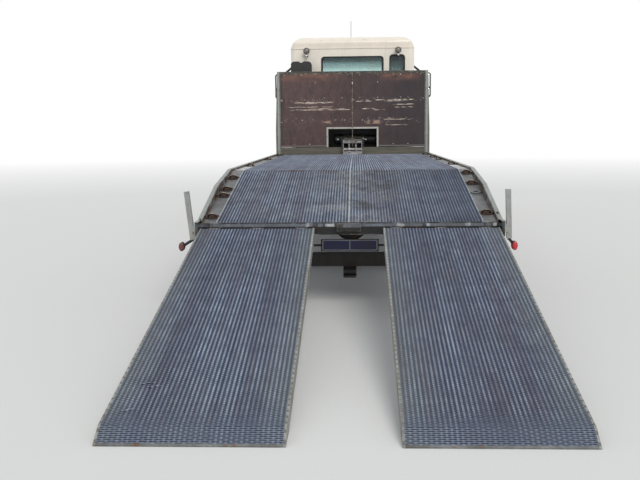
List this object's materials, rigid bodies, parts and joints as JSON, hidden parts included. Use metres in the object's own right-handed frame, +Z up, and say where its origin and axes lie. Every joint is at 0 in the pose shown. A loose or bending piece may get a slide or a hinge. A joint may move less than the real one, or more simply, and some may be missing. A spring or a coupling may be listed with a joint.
{
  "type": "car transporter truck",
  "caption": "Cab-over flat-bed truck with a sloping mesh tail, two folding loading ramps, a plywood headboard and a winch for carrying cars.",
  "frame": {"origin": "on the ground under the middle of the outline, with the ramps let down", "axes": "+Y the way the truck drives, +X its right-hand side, +Z up"},
  "size_m": [2.85, 12.5104, 3.39],
  "materials": {
    "galvanised": "dull galvanised, stained",
    "mesh": "galvanised expanded metal",
    "chassis_black": "black chassis paint, dusty",
    "cab_white": "cream white gloss paint",
    "plywood": "dark film-faced plywood, scratched",
    "black_plastic": "black moulded plastic",
    "rubber": "black rubber",
    "tyre": "road tyre",
    "rim": "silver painted wheel",
    "glass": "green tinted glass",
    "lamp_glass": "clear lamp glass",
    "lamp_red": "red lamp lens",
    "steel": "bright worn steel",
    "aluminium": "plain aluminium",
    "cast": "cast iron",
    "trim": "dark grey cabin plastic",
    "seat_fabric": "woven seat cloth",
    "wire": "steel wire rope"
  },
  "bodies": {
    "root": {"chassis_frame": "chassis_black", "deck_frame": "galvanised", "deck_mesh": "mesh", "tail_mesh": "mesh", "side_channels": "galvanised", "lashing_rings": "cast", "rear_beam": "galvanised", "outline_lamps": "lamp_red", "tail_lamps": "lamp_red", "headboard_frame": "galvanised", "headboard_panel": "plywood", "winch": "chassis_black", "fairlead": "steel", "winch_wire": "wire", "cab_shell": "cab_white", "cab_roof": "cab_white", "cab_front": "cab_white", "grille": "black_plastic", "cab_glass": "glass", "bumper": "black_plastic", "headlamps": "lamp_glass", "seats": "seat_fabric", "dashboard": "trim", "mudguards": "black_plastic", "entry_steps": "black_plastic", "air_intake": "black_plastic", "work_lamps": "black_plastic", "aerial": "black_plastic", "engine": "cast", "drive_line": "cast", "exhaust": "steel", "fuel_tank": "aluminium", "battery_box": "chassis_black", "front_axle": "chassis_black", "rear_axle": "cast", "leaf_springs": "chassis_black", "side_guards": "aluminium", "tow_frame": "chassis_black", "plate_holder": "steel"},
    "door_left": {"door_left": "cab_white", "door_glass_left": "glass", "mirror_left": "black_plastic"},
    "knuckle_left": {"knuckle_left": "cast"},
    "front_wheel_left": {"front_tyre_left": "tyre", "front_rim_left": "rim"},
    "rear_wheels_left": {"rear_tyres_left": "tyre", "rear_rims_left": "rim"},
    "ramp_left": {"ramp_left": "galvanised", "ramp_mesh_left": "mesh"},
    "door_right": {"door_right": "cab_white", "door_glass_right": "glass", "mirror_right": "black_plastic"},
    "knuckle_right": {"knuckle_right": "cast"},
    "front_wheel_right": {"front_tyre_right": "tyre", "front_rim_right": "rim"},
    "rear_wheels_right": {"rear_tyres_right": "tyre", "rear_rims_right": "rim"},
    "ramp_right": {"ramp_right": "galvanised", "ramp_mesh_right": "mesh"},
    "track_rod": {"track_rod": "chassis_black"}
  },
  "joints": [
    {"name": "door_left_hinge", "type": "hinge", "parent": "root", "child": "door_left", "pos_m": [-1.056, 5.89669, 1.44], "axis": [0, 0, -1], "range_deg": [0, 70]},
    {"name": "steer_left", "type": "hinge", "parent": "root", "child": "knuckle_left", "pos_m": [-0.77, 4.98519, 0.45], "axis": [0, 0, 1], "range_deg": [-38, 38]},
    {"name": "front_wheel_left_spin", "type": "hinge", "parent": "knuckle_left", "child": "front_wheel_left", "pos_m": [-0.935, 4.98519, 0.45], "axis": [-1, 0, 0], "continuous": true},
    {"name": "rear_wheels_left_spin", "type": "hinge", "parent": "root", "child": "rear_wheels_left", "pos_m": [-1.06, -0.58481, 0.45], "axis": [-1, 0, 0], "continuous": true},
    {"name": "ramp_left_hinge", "type": "hinge", "parent": "root", "child": "ramp_left", "pos_m": [-0.7465, -3.23481, 0.68], "axis": [-1, 0, 0], "range_deg": [0, 102]},
    {"name": "door_right_hinge", "type": "hinge", "parent": "root", "child": "door_right", "pos_m": [1.056, 5.89669, 1.44], "axis": [0, 0, 1], "range_deg": [0, 70]},
    {"name": "steer_right", "type": "hinge", "parent": "root", "child": "knuckle_right", "pos_m": [0.77, 4.98519, 0.45], "axis": [0, 0, 1], "range_deg": [-38, 38]},
    {"name": "front_wheel_right_spin", "type": "hinge", "parent": "knuckle_right", "child": "front_wheel_right", "pos_m": [0.935, 4.98519, 0.45], "axis": [-1, 0, 0], "continuous": true},
    {"name": "rear_wheels_right_spin", "type": "hinge", "parent": "root", "child": "rear_wheels_right", "pos_m": [1.06, -0.58481, 0.45], "axis": [-1, 0, 0], "continuous": true},
    {"name": "ramp_right_hinge", "type": "hinge", "parent": "root", "child": "ramp_right", "pos_m": [0.7465, -3.23481, 0.68], "axis": [-1, 0, 0], "range_deg": [0, 102]},
    {"name": "track_rod_pivot", "type": "hinge", "parent": "knuckle_left", "child": "track_rod", "pos_m": [-0.77, 4.79519, 0.33], "axis": [0, 0, 1], "range_deg": [-38, 38]}
  ],
  "couplings": [
    {"joint": "steer_right", "follows": "steer_left", "ratio": 1},
    {"joint": "track_rod_pivot", "follows": "steer_left", "ratio": -1}
  ]
}
